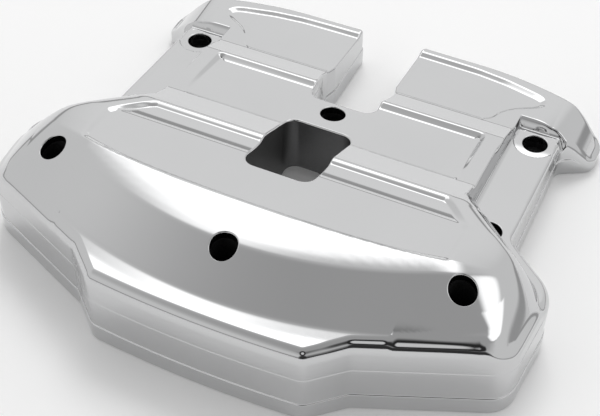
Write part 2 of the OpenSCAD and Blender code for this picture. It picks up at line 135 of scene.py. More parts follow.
# Reach of the smoothing in a curve, in multiples of its softness
CURVE_REACH = 3.2


class Curve:
    """A line through points, its corners rounded off, as a function of one value."""

    def __init__(self, points, soft, cell=0.04):
        points = np.array(points, float)
        self.x = np.arange(points[0, 0], points[-1, 0] + cell, cell)
        raw = np.interp(self.x, points[:, 0], points[:, 1])
        reach = int(CURVE_REACH * soft / cell)
        t = np.arange(-reach, reach + 1) * cell / soft
        kernel = np.exp(-0.5 * t * t)
        kernel /= kernel.sum()
        left = raw[0] - (raw[1] - raw[0]) * np.arange(reach, 0, -1)
        right = raw[-1] + (raw[-1] - raw[-2]) * np.arange(1, reach + 1)
        self.z = np.convolve(np.concatenate([left, raw, right]), kernel, "valid")

    def __call__(self, x):
        # quadratic look-up, so that the slope has no steps either
        cell = self.x[1] - self.x[0]
        f = np.clip((x - self.x[0]) / cell, 1.0, len(self.x) - 2.001)
        i = np.round(f).astype(int)
        t = f - i
        a, b, c = self.z[i - 1], self.z[i], self.z[i + 1]
        return b + 0.5 * (c - a) * t + 0.5 * (a - 2 * b + c) * t * t


# Profiles from front to rear: the land is the top without its sunken panels, the floors are the panels
LAND = Curve([
    (-120, 62), (-50.4, TOP_Z), (-35, 49.45), (-20.9, 46.9), (-5.2, 42.45), (12, 34.5), (30, 32.3),
    (48.4, 29.55), (62.3, 23.55), (98.5, 20.0), (130, 20.0)], soft=0.55)
FRONT_FLOOR = Curve([
    (-120, 62.4), (-50.4, 50.6), (-20.9, 45.8), (-18.5, 44.6), (-15, 43.3), (-12, 42.4),
    (-9.5, 41.85), (-7.5, 41.75), (0, 41.0), (60, 30)], soft=0.7)
MID_FLOOR = Curve([(-60, 47.6), (12, 34.2), (44.0, 28.35), (120, 14.5)], soft=0.5)
REAR_FLOOR = Curve([(0, 31.0), (62.3, 23.2), (96.0, 18.95), (140, 13.4)], soft=0.5)

# Profile outwards from the slope's axis: ridge, roll to the crease, slope, and shelf at its foot
SLOPE = Curve(
    [(0, 80)]
    + [(r, TOP_Z + RIDGE_FALL * (RIDGE_R - r)) for r in (130, RIDGE_R)]
    + [(RIDGE_R + (CREASE_R - RIDGE_R) * s, TOP_Z - ROLL_FALL * s * s) for s in (0.2, 0.4, 0.6, 0.8, 1.0)]
    + [(SLOPE_FOOT_R, SLOPE_FOOT_Z), (SLOPE_FOOT_R + 6, 38.9), (330, 38.7)], soft=0.75)

# Rounded sides of the front body, one rise for each direction from the oblique wall to the shoulder
DIRECTIONS = 88
ANGLES = np.arange(OBLIQUE, SHOULDER + 1e-6, (SHOULDER - OBLIQUE) / DIRECTIONS)
# Number of directions on each side over which a value is smoothed
CARRY = 8


def side_reach(a):
    """Distance of the body's corners from the origin in one direction."""
    return max(c[0] * cosd(a) + c[1] * sind(a) + c[2] for c in (FRONT_CORNER, REAR_CORNER))


def over_angles(angles, values):
    """Values set at a few angles, carried smoothly over all of them."""
    line = np.interp(ANGLES, angles, values)
    padded = np.pad(line, CARRY, mode="edge")
    kernel = np.hanning(2 * CARRY + 3)[1:-1]
    return np.convolve(padded, kernel / kernel.sum(), "valid")


# Height at the rim, steepness there, how fast it flattens, and the steepness where that ends
RIM_TOP = over_angles([OBLIQUE, 2, SHOULDER], [38.7, 32.6, 27.5])
RISE = over_angles([OBLIQUE, -45, -20, 5, SHOULDER], [1.25, 1.25, 1.15, 1.15, 2.6])
BEND = over_angles([OBLIQUE, -45, -20, 5, SHOULDER], [0.012, 0.014, 0.017, 0.018, 0.075])
END_RISE = 0.4
# Distance inside the outline at which the sides start, more towards the rear
SIDE_IN = 4.9
LEAF = over_angles([6, 20], [0.0, 1.4])
REACH = np.array([side_reach(a) for a in ANGLES])
# Front directions keep nearly level outside their start
LEVEL_BELOW = -45
LEVEL_SHARE = 0.03
# Softness with which neighbouring directions blend, and how many share a place
SIDE_SOFT = 0.6
SIDE_FAN = 10.0


def body_height(X, Y):
    """Rounded sides of the front body: the lowest of the rises over all directions."""
    values = []
    for i, a in enumerate(ANGLES):
        d = REACH[i] - SIDE_IN - LEAF[i] - (X * cosd(a) + Y * sind(a))
        if a < LEVEL_BELOW:
            d = np.where(d > 0, d, LEVEL_SHARE * d)
        length = (RISE[i] - END_RISE) / BEND[i] / 2
        e = np.minimum(d, length)
        beyond = END_RISE * np.maximum(d - length, 0.0)
        values.append(RIM_TOP[i] + RISE[i] * e - BEND[i] * e * e + beyond)
    values = np.array(values)
    low = values.min(0)
    return low - SIDE_SOFT * np.log(np.exp((low - values) / SIDE_SOFT).sum(0) / SIDE_FAN)


def rounded_box(X, Y, x1, y0, y1, r):
    """Distance to the edge of a rounded box, below nought inside, and which way its edge faces."""
    qx = X - (x1 - r)
    qy = np.abs(Y - (y0 + y1) / 2) - ((y1 - y0) / 2 - r)
    ox, oy = np.maximum(qx, 0), np.maximum(qy, 0)
    out = np.hypot(ox, oy)
    d = out + np.minimum(np.maximum(qx, qy), 0) - r
    share = np.where(out > 1e-6, oy * oy / np.maximum(out * out, 1e-12), (qy > qx) * 1.0)
    return d, share


def inside(px, py, loop):
    """Which points lie inside a closed loop."""
    found = np.zeros(np.shape(px), bool)
    for (ax, ay), (bx, by) in zip(loop, np.roll(loop, -1, 0)):
        if ay != by:
            found ^= ((ay > py) != (by > py)) & (px < (bx - ax) * (py - ay) / (by - ay) + ax)
    return found


def loop_distance(X, Y, loop):
    """Distance inwards from a closed loop's edges, above nought inside."""
    best = np.full(X.shape, np.inf)
    for (ax, ay), (bx, by) in zip(loop, np.roll(loop, -1, 0)):
        ex, ey = bx - ax, by - ay
        t = np.clip(((X - ax) * ex + (Y - ay) * ey) / (ex * ex + ey * ey), 0, 1)
        best = np.minimum(best, np.hypot(X - ax - t * ex, Y - ay - t * ey))
    return np.where(inside(X, Y, loop), best, -best)


# Largest share of a side that one rounded corner may take
CORNER_SHARE = 0.45


def smooth_corners(points, r, n=7):
    """Rounds the corners of a closed loop."""
    out = []
    m = len(points)
    for i in range(m):
        p0, p1, p2 = (np.array(points[j % m], float) for j in (i - 1, i, i + 1))
        u, v = p0 - p1, p2 - p1
        lu, lv = np.linalg.norm(u), np.linalg.norm(v)
        t = min(r, CORNER_SHARE * lu, CORNER_SHARE * lv)
        a, b = p1 + u / lu * t, p1 + v / lv * t
        for s in np.linspace(0, 1, n):
            out.append(tuple((1 - s) ** 2 * a + 2 * s * (1 - s) * p1 + s * s * b))
    return out


# Sunken panels: right halves of their edges, and the widths of their sloping sides
POCKET_CORNER_R = 3.0
FRONT_POCKET = smooth_corners([
    (-60, -5.2), (-60, -50.4), (0, -50.4), (20, -50.2), (40, -49.5), (60, -47.9), (72, -46.2),
    (80.6, -44.4), (81.6, -22.2), (68.6, -6.6), (66.5, -5.2)], POCKET_CORNER_R)
FRONT_SIDES = ([-47, -41, -10, -8], [1.5, 3.0, 3.0, 3.3])
MID_POCKET = (65.4, 11.4, 48.4, 3.6)
MID_REAR_SIDE = 4.2
MID_FRONT_SIDE = 1.2
MID_END_SIDE = 1.9
REAR_POCKET = smooth_corners([
    (-60, 98.7), (-60, 62.3), (59.0, 62.3), (62.8, 65.4), (64.6, 70.8), (68.5, 75.8), (78.7, 81.6),
    (82.3, 86.2), (79.6, 90.4), (75.6, 92.2), (60, 96.0), (45, 97.9), (0, 98.7)], POCKET_CORNER_R)
REAR_SIDES = ([76, 88], [1.3, 3.1])


def front_pocket(X, Y):
    d = loop_distance(X, Y, FRONT_POCKET)
    return bevel(d / np.interp(Y, *FRONT_SIDES)) * np.maximum(LAND(Y) - FRONT_FLOOR(Y), 0.0)


def mid_pocket(X, Y):
    x1, y0, y1, r = MID_POCKET
    d, share = rounded_box(X, Y, x1, y0, y1, r)
    across = np.where(Y > (y0 + y1) / 2, MID_REAR_SIDE, MID_FRONT_SIDE)
    wide = MID_END_SIDE + (across - MID_END_SIDE) * share
    return bevel(-d / wide) * np.maximum(LAND(Y) - MID_FLOOR(Y), 0.0)


def rear_pocket(X, Y):
    d = loop_distance(X, Y, REAR_POCKET)
    return bevel(d / np.interp(Y, *REAR_SIDES)) * np.maximum(LAND(Y) - REAR_FLOOR(Y), 0.0)


# Side strips: height at the middle screws, fall to the rear, and the steeper fall to the wing tips
STRIP_Z = 26.7
STRIP_FALL = 0.11
TIP_FROM_X = 92.6
TIP_FROM_Y = 20
TIP_FALL = 2.0
# Walls of the decks above the strips: height at one place, and steepness
DECK_X = 71.5
DECK_Z = 42.0
DECK_STEEP = 9.458
# Crown of the wings: where it starts, its width, height and bend, and the height of the tips
CROWN_X = 88.1
CROWN_W = 20.0
CROWN_H = 16.2
CROWN_BEND = 1.6
CROWN_RISE = 0.35
CROWN_LIMIT = 1.12
TIP_Z = 5.5
# Front faces of the wings: height at one place, steepness, and where the wings start
WING_FRONT_Y = 70.3
WING_FRONT_Z = 18.6
WING_FRONT_STEEP = 1.6
WING_FROM_X = 60
# Fillet between the strips and the deck walls
FILLET_X = 73.2
FILLET_R = 2.6
FILLET_FROM_Y = -30
# Shallow recesses round the rear counterbores
RECESS_Z = 19.45
RECESS_R = 9.3
RECESS_STEEP = 2.4
RECESS_REACH = 16
# Heights within which neighbouring forms blend
SLOPE_BLEND = 0.25
DECK_BLEND = 0.8
WING_BLEND = 1.2
TIP_BLEND = 1.0
STRIP_BLEND = 1.2
RECESS_BLEND = 0.8
# The top's edge is rounder where it lies higher
EDGE_BLEND = ([38.0, 43.0], [2.2, 6.0])
# Radius taken behind the slope's axis, where the slope stands above everything
BEHIND_AXIS_R = 100.0


def height(x, y):
    """Height of the top surface, before the rim rounding and the bores."""
    X, Y = np.abs(x), np.asarray(y, float)
    r = np.hypot(X, Y - SLOPE_AXIS)
    top = smin(LAND(Y), SLOPE(np.where(Y < SLOPE_AXIS, r, BEHIND_AXIS_R)), SLOPE_BLEND)
    tip_fall = np.where(Y > TIP_FROM_Y, TIP_FALL * np.maximum(X - TIP_FROM_X, 0.0), 0.0)
    strip = STRIP_Z - STRIP_FALL * (Y - MIDDLE_SCREW_Y) - tip_fall
    deck = DECK_Z - DECK_STEEP * (X - DECK_X)
    s = np.clip((X - CROWN_X) / CROWN_W, 0, CROWN_LIMIT)
    crown = TIP_Z + CROWN_H * (1 - s ** CROWN_BEND) + CROWN_RISE * np.maximum(CROWN_X - X, 0)
    front_wall = WING_FRONT_Z + WING_FRONT_STEEP * (Y - WING_FRONT_Y)
    wing = smin(crown, front_wall, WING_BLEND)
    sides = smax(body_height(X, Y), deck, DECK_BLEND)
    sides = np.where(X > WING_FROM_X, smax(sides, wing, TIP_BLEND), sides)
    z = smin(top, sides, np.interp(np.minimum(top, sides), *EDGE_BLEND))
    u = X - FILLET_X
    across = np.clip(FILLET_R - u, 0, FILLET_R)
    fillet = strip + FILLET_R - np.sqrt(np.maximum(FILLET_R ** 2 - across ** 2, 0))
    fillet = np.where((u > 0) & (Y > FILLET_FROM_Y), fillet, strip)
    z = smax(z, fillet, STRIP_BLEND)
    z = z - front_pocket(X, Y) - mid_pocket(X, Y) - rear_pocket(X, Y)
    rr = np.hypot(X - SIDE_SCREW_X, Y - REAR_SCREW_Y)
    recess = RECESS_Z + RECESS_STEEP * np.maximum(rr - RECESS_R, 0)
    return np.where(rr < RECESS_REACH, smin(z, recess, RECESS_BLEND), z)


def slopes(x, y, e=0.06):
    gx = (height(x + e, y) - height(x - e, y)) / (2 * e)
    gy = (height(x, y + e) - height(x, y - e)) / (2 * e)
    return gx, gy


def top_normals(x, y):
    gx, gy = slopes(x, y)
    n = np.stack([-gx, -gy, np.ones_like(gx)], 1)
    return n / np.linalg.norm(n, axis=1)[:, None]


# Outline, seen from above: corner radii, the wing's corners and the sweep of the rear edge
FLANK_R = 7.0
INNER_R = 6.0
NECK_R = 6.0
WING_R = 7.0
WING_ROOT_Y = 66.5
WING_FRONT_CORNER_Y = 75.0
WING_REAR_CORNER_Y = 88.0
SWEEP_END_X = 45.0
SWEEP_DEPTH = 15.0
# Right side of the notch from the rear edge to the blind end: x, y and corner radius
NOTCH_PATH = [
    (NOTCH_HALF, REAR_Y, 3.0), (NOTCH_HALF, 67.4, 5.0), (NOTCH_HALF + NOTCH_STEP, 61.4, 2.0),
    (NOTCH_HALF + NOTCH_STEP, 57.4, 3.0), (NOTCH_HALF, 48.4, 5.0), (NOTCH_HALF, NOTCH_END, 5.0),
    (0, NOTCH_END, 0)]
# Numbers of points along the curved parts
BOW_POINTS = 24
FRONT_CORNER_POINTS = 14
REAR_CORNER_POINTS = 18
SWEEP_POINTS = 28
# Largest and smallest distance between points, and degrees between points on an arc
SPACING = 2.0
MIN_SPACING = 0.12
ARC_STEP = 5
CLEARANCE = 0.05


def meet(a, ra, b, rb):
    """Where two lines meet, each given by the direction and distance of its normal."""
    m = np.array([[cosd(a), sind(a)], [cosd(b), sind(b)]])
    return tuple(np.linalg.solve(m, [ra, rb]))


def half_outline():
    """Right half, from the middle of the front to the blind end of the notch: points with radii."""
    bow_y = FRONT_Y + BOW_R
    xs = np.linspace(0, BOW_HALF, BOW_POINTS)
    pts = [(x, bow_y - math.sqrt(BOW_R ** 2 - x * x), 0) for x in xs[:-1]]
    flank_y = bow_y - math.sqrt(BOW_R ** 2 - BOW_HALF ** 2)
    flank_reach = BOW_HALF * cosd(FLANK) + flank_y * sind(FLANK)
    inner = meet(FLANK, flank_reach, OBLIQUE, OBLIQUE_REACH)
    pts += [(BOW_HALF, flank_y, FLANK_R), (inner[0], inner[1], INNER_R)]
    corners = (
        (FRONT_CORNER, OBLIQUE, SIDE, FRONT_CORNER_POINTS),
        (REAR_CORNER, SIDE, SHOULDER, REAR_CORNER_POINTS))
    for c, a0, a1, n in corners:
        for a in np.linspace(a0, a1, n):
            pts.append((c[0] + c[2] * cosd(a), c[1] + c[2] * sind(a), 0))
    neck_y = (side_reach(SHOULDER) - STRIP_X * cosd(SHOULDER)) / sind(SHOULDER)
    pts += [(STRIP_X, neck_y, NECK_R), (STRIP_X, WING_ROOT_Y, NECK_R)]
    pts += [(WING_X, WING_FRONT_CORNER_Y, WING_R), (WING_X, WING_REAR_CORNER_Y, WING_R)]
    # the sweep's first points would lie inside the wing corner's arc
    for s in np.linspace(0, 1, SWEEP_POINTS)[2:]:
        pts.append((WING_X - (WING_X - SWEEP_END_X) * s, REAR_Y - SWEEP_DEPTH * (1 - s) ** 2, 0))
    return pts + NOTCH_PATH


def round_path(pts):
    """Replaces each corner that has a radius by its arc."""
    xy = np.array([p[:2] for p in pts], float)
    out = [xy[0]]
    for i in range(1, len(pts) - 1):
        r = pts[i][2]
        if not r:
            out.append(xy[i])
            continue
        u = (xy[i] - xy[i - 1]) / np.linalg.norm(xy[i] - xy[i - 1])
        v = (xy[i + 1] - xy[i]) / np.linalg.norm(xy[i + 1] - xy[i])
        turn = math.acos(np.clip(u @ v, -1, 1))
        t = r * math.tan(turn / 2)
        # drop the points that the arc has passed
        while len(out) > 2 and (xy[i] - out[-1]) @ u < t + CLEARANCE:
            out.pop()
        a, b = xy[i] - u * t, xy[i] + v * t
        side = 1.0 if u[0] * v[1] - u[1] * v[0] > 0 else -1.0
        centre = a + side * r * np.array([-u[1], u[0]])
        a0 = math.atan2(a[1] - centre[1], a[0] - centre[0])
        n = max(2, int(math.degrees(turn) / ARC_STEP))
        for k in range(n + 1):
            g = a0 + side * turn * k / n
            out.append(centre + r * np.array([math.cos(g), math.sin(g)]))
        out[-1] = b
    out.append(xy[-1])
    # drop points that lie too close to the one before
    kept = [out[0]]
    for p in out[1:]:
        if np.linalg.norm(p - kept[-1]) > MIN_SPACING:
            kept.append(p)
    return np.array(kept)


def split_long(path, longest):
    out = [path[0]]
    for a, b in zip(path[:-1], path[1:]):
        n = max(1, int(math.ceil(np.linalg.norm(b - a) / longest)))
        for k in range(1, n + 1):
            out.append(a + (b - a) * k / n)
    return np.array(out)


def normals_of(loop):
    """Outward normals of a closed loop that runs counter-clockwise."""
    e = np.roll(loop, -1, 0) - loop
    n = np.stack([e[:, 1], -e[:, 0]], 1)
    n /= np.linalg.norm(n, axis=1)[:, None]
    m = n + np.roll(n, 1, 0)
    return m / np.linalg.norm(m, axis=1)[:, None]


half = split_long(round_path(half_outline()), SPACING)
OUTLINE = np.concatenate([half, (half * [-1, 1])[-2:0:-1]])
OUT_N = normals_of(OUTLINE)


def inset(d):
    return OUTLINE - OUT_N * np.asarray(d)[..., None]


# Patches of the mesh: vertices, faces, a normal for each corner of a face, and the faces' finish
CHROME = 0
CAST = 1
# share of the dull casting on the window's walls: partly their finish, partly painted shade in the window
WINDOW_CAST_AND_SHADE = 0.7


class Patches:
    def __init__(self):
        self.v, self.f, self.n, self.tag, self.count = [], [], [], [], 0

    def add(self, verts, faces, normals, tag):
        """All faces have the same number of corners; normals are one for each vertex or corner."""
        verts, faces = np.asarray(verts, float), np.asarray(faces, int)
        normals = np.asarray(normals, float)
        corner = normals if normals.ndim == 3 else normals[faces]
        a, b, c = (verts[faces[:, i]] for i in (0, 1, 2))
        if faces.shape[1] == 4:
            flat = np.cross(c - a, verts[faces[:, 3]] - b)
        else:
            flat = np.cross(b - a, c - a)
        back = (flat * corner.mean(1)).sum(1) < 0
        faces = np.where(back[:, None], faces[:, ::-1], faces)
        corner = np.where(back[:, None, None], corner[:, ::-1], corner)
        self.v.append(verts)
        self.f.append(faces + self.count)
        self.n.append(corner)
        self.tag.append(np.full(len(faces), tag))
        self.count += len(verts)


patches = Patches()


def grid_faces(rows, cols):
    """Quads of a grid of rows, closed round along its columns."""
    i, j = np.meshgrid(np.arange(rows - 1), np.arange(cols), indexing="ij")
    k = (j + 1) % cols
    quads = np.stack([i * cols + j, i * cols + k, (i + 1) * cols + k, (i + 1) * cols + j], -1)
    return quads.reshape(-1, 4)


def grid_normals(g, out):
    """Normals of a closed grid from its neighbours, on the side that out names."""
    along = np.roll(g, -1, 1) - np.roll(g, 1, 1)
    up = np.empty_like(g)
    up[1:-1] = g[2:] - g[:-2]
    up[0], up[-1] = g[1] - g[0], g[-1] - g[-2]
    n = np.cross(along, up)
    n /= np.maximum(np.linalg.norm(n, axis=2), 1e-12)[..., None]
    flip = (n * out).sum(2) < 0
    return np.where(flip[..., None], -n, n)


# Rim rounding at places along the right half: x, y, width and height
RIM_KEYS = [
    (0, -103, 4.8, 6.4), (46, -99, 4.8, 6.4), (61, -86, 4.8, 6.4), (100, -72, 4.8, 6.4),
    (112, -65, 4.4, 6.2), (117.5, -52, 4.0, 5.6), (118.8, -38, 3.8, 5.2), (112, -18, 3.6, 5.0),
    (101, -8, 3.2, 4.5), (96, -3, 2.2, 3.4), (94.7, 5, 1.7, 2.6), (94.7, 60, 1.7, 2.4),
    (96.5, 67.3, 2.6, 4.5), (99.4, 69.2, 3.8, 7.0), (104.4, 72, 4.0, 6.0), (107.1, 73.7, 3.4, 4.0),
    (109.6, 82, 3.0, 2.6), (107, 90, 3.0, 2.8), (90, 99, 2.6, 2.8), (45, 103, 2.4, 2.6),
    (20, 103, 2.2, 2.4), (14.8, 100, 1.3, 1.3), (14.8, 95, 0.8, 0.8), (14.8, 42, 0.7, 0.7),
    (0, 39, 0.7, 0.7)]
RIM_SMOOTHING = 6
RIM_ROWS = 13
RIM_PULL = 0.56
# The wall steps in above the foot line and above the draft line, where the rim is high enough
STEP_IN = 0.45
FOOT_STEP_FROM = 7.0
FOOT_STEP_OVER = 2.0
DRAFT_STEP_FROM = 24.6
DRAFT_STEP_OVER = 2.5
FIRST_LIP = 0.9
# Least distances between the foot line, the draft line and the rim
FOOT_BELOW_RIM = 1.0
DRAFT_BELOW_RIM = 0.8
FOOT_TO_DRAFT = 0.7
LIP_SLOPES = (-0.6, 1.2)
# Upward share of the directions that tell a wall's outer side, and a hole's inner side
WALL_TILT = 0.4
HOLE_TILT = 0.5


def rim_sizes():
    """Width and height of the rim rounding at each point of the outline."""
    steps = np.linalg.norm(np.diff(half, axis=0), axis=1)
    arc = np.concatenate([[0], np.cumsum(steps)])
    key_s = [arc[np.argmin(np.hypot(half[:, 0] - k[0], half[:, 1] - k[1]))] for k in RIM_KEYS]
    sizes = []
    for column in (2, 3):
        size = np.interp(arc, key_s, [k[column] for k in RIM_KEYS])
        for _ in range(RIM_SMOOTHING):
            size[1:-1] = (size[:-2] + 2 * size[1:-1] + size[2:]) / 4
        sizes.append(np.concatenate([size, size[-2:0:-1]]))
    return sizes


def skirt_and_rim():
    """Wall and rim rounding, swept round the outline; returns the lip and the flat foot's outer edge."""
    rim_w, rim_h = rim_sizes()
    # a first lip tells how high the rim lies, and so how far the wall steps in
    lip = inset(FIRST_LIP + rim_w)
    low_z = height(lip[:, 0], lip[:, 1]) - rim_h
    k1 = STEP_IN * np.clip((low_z - FOOT_STEP_FROM) / FOOT_STEP_OVER, 0, 1)
    in_rim = k1 + STEP_IN * np.clip((low_z - DRAFT_STEP_FROM) / DRAFT_STEP_OVER, 0, 1)
    k2 = in_rim - k1
    lip = inset(in_rim + rim_w)
    lip_z = height(lip[:, 0], lip[:, 1])
    low_z = lip_z - rim_h
    foot_z = np.minimum(FOOT_Z, low_z - FOOT_BELOW_RIM)
    draft_z = np.minimum(DRAFT_Z, low_z - DRAFT_BELOW_RIM)
    draft_z = np.maximum(draft_z, foot_z + FOOT_TO_DRAFT)
    gx, gy = slopes(lip[:, 0], lip[:, 1])
    lip_slope = np.clip(-(gx * OUT_N[:, 0] + gy * OUT_N[:, 1]), *LIP_SLOPES)
    o = np.ones(len(OUTLINE))
    # each row: inset from the outline, and height
    rows = [
        (0.6 * o, 0 * o), (0.18 * o, 0.15 * o), (0 * o, 0.6 * o), (0 * o, foot_z - 0.7),
        (0.16 * k1, foot_z - 0.25), (0.5 * k1, foot_z), (0.85 * k1, foot_z + 0.08), (k1, foot_z + 0.5),
        (k1, (foot_z + draft_z) / 2), (k1, draft_z - 0.2), (k1 + 0.35 * k2, draft_z - 0.02),
        (k1 + 0.42 * k2, draft_z + 0.15), (k1 + 0.5 * k2, draft_z * 0.5 + low_z * 0.5)]
    rows = [(a, np.maximum(b, 0)) for a, b in rows]
    for i in range(1, len(rows)):
        rows[i] = (rows[i][0], np.maximum(rows[i][1], rows[i - 1][1]))
    for t in np.linspace(0, 1, RIM_ROWS):
        p0 = np.stack([in_rim, low_z], 1)
        p3 = np.stack([in_rim + rim_w, lip_z], 1)
        p1 = p0 + np.stack([0 * o, RIM_PULL * rim_h], 1)
        p2 = p3 - np.stack([RIM_PULL * rim_w, RIM_PULL * rim_w * lip_slope], 1)
        p = (1 - t) ** 3 * p0 + 3 * t * (1 - t) ** 2 * p1 + 3 * t * t * (1 - t) * p2 + t ** 3 * p3
        rows.append((p[:, 0], p[:, 1]))
    grid = np.array([np.column_stack([inset(a), b]) for a, b in rows])
    outwards = np.concatenate([OUT_N, np.full((len(OUT_N), 1), WALL_TILT)], 1)[None]
    n = grid_normals(grid, outwards)
    n[-1] = top_normals(grid[-1][:, 0], grid[-1][:, 1])
    # the lowest row leans towards the flat foot
    down = n[0] + [0, 0, -1.0]
    n[0] = down / np.linalg.norm(down, axis=1)[:, None]
    patches.add(grid.reshape(-1, 3), grid_faces(len(rows), len(OUTLINE)), n.reshape(-1, 3), CHROME)
    return lip, grid[0][:, :2]


# Bores and window; a band is its first row, its last row and its finish
BORE_POINTS = 72
# Rows of a counterbore's rounded edge: beyond its radius, and below the top
BORE_EDGE = [(0.55, 0.0), (0.3, 0.08), (0.1, 0.28), (0.0, 0.65), (0.0, 3.5)]
SCREW_CHAMFER = 0.4
BORE_BANDS = [(0, 4, CHROME), (4, 5, CAST), (5, 6, CAST), (6, 7, CAST), (7, 8, CAST), (8, 9, CAST)]
# Rows of the window's rounded edge: beyond its side, and below the top
WINDOW_EDGE = [(0.8, 0.0), (0.45, 0.1), (0.18, 0.3), (0.03, 0.6), (0.0, 1.2), (0.0, 8.0)]
WINDOW_CHAMFER = 0.3
WINDOW_CHAMFER_H = 0.4
WINDOW_CORNER_POINTS = 13
WINDOW_BANDS = [(0, 3, CHROME), (3, 7, WINDOW_CAST_AND_SHADE), (7, 8, CAST)]


def circle(cx, cy, r, n):
    t = np.arange(n) * 2 * math.pi / n
    return np.stack([cx + r * np.cos(t), cy + r * np.sin(t)], 1)


def window_corners(off):
    """Points round the window's corners, moved outwards."""
    hw, y0, y1, r = WINDOW
    x, low, high = hw - r, y0 + r, y1 - r
    pts = []
    for cx, cy, a0 in ((x, high, 0), (-x, high, 90), (-x, low, 180), (x, low, 270)):
        for a in np.linspace(a0, a0 + 90, WINDOW_CORNER_POINTS):
            pts.append((cx + (r + off) * cosd(a), cy + (r + off) * sind(a)))
    return np.array(pts)


def window_loop(off):
    """The window's edge, moved outwards, with the same number of points at every distance."""
    base = window_corners(0)
    loop = window_corners(off)
    out = []
    for a, b, base_a, base_b in zip(loop, np.roll(loop, -1, 0), base, np.roll(base, -1, 0)):
        n = max(1, int(math.ceil(np.linalg.norm(base_b - base_a) / SPACING)))
        for k in range(n):
            out.append(a + (b - a) * k / n)
    return np.array(out)


def hole(loops, zs, bands):
    """A hole's wall from loops and heights, downwards, in bands with sharp edges between them."""
    g = np.array([np.column_stack([loop, z]) for loop, z in zip(loops, zs)])
    centre = g.mean((0, 1))
    to_axis = np.concatenate([centre[:2] - g[..., :2], np.full(g.shape[:2] + (1,), HOLE_TILT)], 2)
    for start, end, finish in bands:
        part = g[start:end + 1]
        n = grid_normals(part, to_axis[start:end + 1])
        if start == 0:
            n[0] = top_normals(part[0][:, 0], part[0][:, 1])
        patches.add(part.reshape(-1, 3), grid_faces(len(part), g.shape[1]), n.reshape(-1, 3), finish)


def bore(cx, cy):
    """Counterbore and clearance hole of one screw; returns its edge in the top."""
    radii = [BORE_R + out for out, _ in BORE_EDGE]
    radii += [BORE_R, SCREW_R + SCREW_CHAMFER, SCREW_R, SCREW_R, SCREW_R + SCREW_CHAMFER]
    loops = [circle(cx, cy, r, BORE_POINTS) for r in radii]
    z = height(loops[0][:, 0], loops[0][:, 1])
    levels = [SEAT_Z, SEAT_Z, SEAT_Z - SCREW_CHAMFER, SCREW_CHAMFER, 0.0]
    zs = [z - depth for _, depth in BORE_EDGE] + [level * np.ones(BORE_POINTS) for level in levels]
    hole(loops, zs, BORE_BANDS)
    return loops[0]


def window():
    """The window's walls; returns its edge in the top."""
    offsets = [out for out, _ in WINDOW_EDGE] + [0.0, WINDOW_CHAMFER, WALL]
    loops = [window_loop(off) for off in offsets]
    z = height(loops[0][:, 0], loops[0][:, 1])
    one = np.ones(len(z))
    zs = [z - depth for _, depth in WINDOW_EDGE]
    zs += [(WINDOW_FOOT_Z + WINDOW_CHAMFER_H) * one, WINDOW_FOOT_Z * one, WINDOW_FOOT_Z * one]
    hole(loops, zs, WINDOW_BANDS)
    return loops[0]


LOOP_SPACING = 0.8
MERGE_DISTANCE = 1e-5


def near(px, py, loops, dist):
    """Which points lie within a distance of the loops' points."""
    pts = np.concatenate([split_long(np.concatenate([loop, loop[:1]]), LOOP_SPACING) for loop in loops])
    taken = {}
    for p in pts:
        taken.setdefault((int(p[0] // dist), int(p[1] // dist)), []).append(p)
    res = np.zeros(len(px), bool)
    ix, iy = (px // dist).astype(int), (py // dist).astype(int)
    around = [(di, dj) for di in (-1, 0, 1) for dj in (-1, 0, 1)]
    for n, (i, j) in enumerate(zip(ix, iy)):
        for di, dj in around:
            for q in taken.get((i + di, j + dj), ()):
                if (q[0] - px[n]) ** 2 + (q[1] - py[n]) ** 2 < dist * dist:
                    res[n] = True
    return res


def triangulate(points, loops, more_edges=()):
    """Constrained triangulation of points with closed loops as edges."""
    coords = [Vector(p) for loop in loops for p in loop] + [Vector(p) for p in points]
    edges = []
    base = 0
    for loop in loops:
        n = len(loop)
        edges += [(base + i, base + (i + 1) % n) for i in range(n)]
        base += n
    edges += [(int(i) + base, int(j) + base) for i, j in more_edges]
    verts, _, faces, _, _, _ = delaunay_2d_cdt(coords, edges, [], 0, MERGE_DISTANCE)
    tri = np.array([f for f in faces if len(f) == 3])
    return np.array([tuple(v) for v in verts]), tri


# Top surface: points on a grid that is finest where the surface bends most
FINE = 0.5
TOP_X = 118
TOP_Y = 103
GRID_END = 0.01
MIDDLE_EVERY = 2
COARSE_EVERY = 4
BENDS = 0.004
BENDS_MUCH = 0.018
FREE_OF_LOOPS = 0.38


def bending(H):
    """How much a grid of heights bends at each point, spread to the neighbours."""
    across = np.abs(H[2:, 1:-1] - H[:-2, 1:-1]) + np.abs(H[1:-1, 2:] - H[1:-1, :-2])
    bend_x = np.abs(H[2:, 1:-1] + H[:-2, 1:-1] - 2 * H[1:-1, 1:-1])
    bend_y = np.abs(H[1:-1, 2:] + H[1:-1, :-2] - 2 * H[1:-1, 1:-1])
    spread = np.zeros_like(H)
    spread[1:-1, 1:-1] = np.maximum(bend_x, bend_y) / (1 + across ** 2)
    for _ in range(2):
        m = spread.copy()
        m[1:] = np.maximum(m[1:], spread[:-1])
        m[:-1] = np.maximum(m[:-1], spread[1:])
        m[:, 1:] = np.maximum(m[:, 1:], spread[:, :-1])
        m[:, :-1] = np.maximum(m[:, :-1], spread[:, 1:])
        spread = m
    return spread


def grid_points(x, y, cell):
    return np.meshgrid(np.arange(-x, x + GRID_END, cell), np.arange(-y, y + GRID_END, cell), indexing="ij")


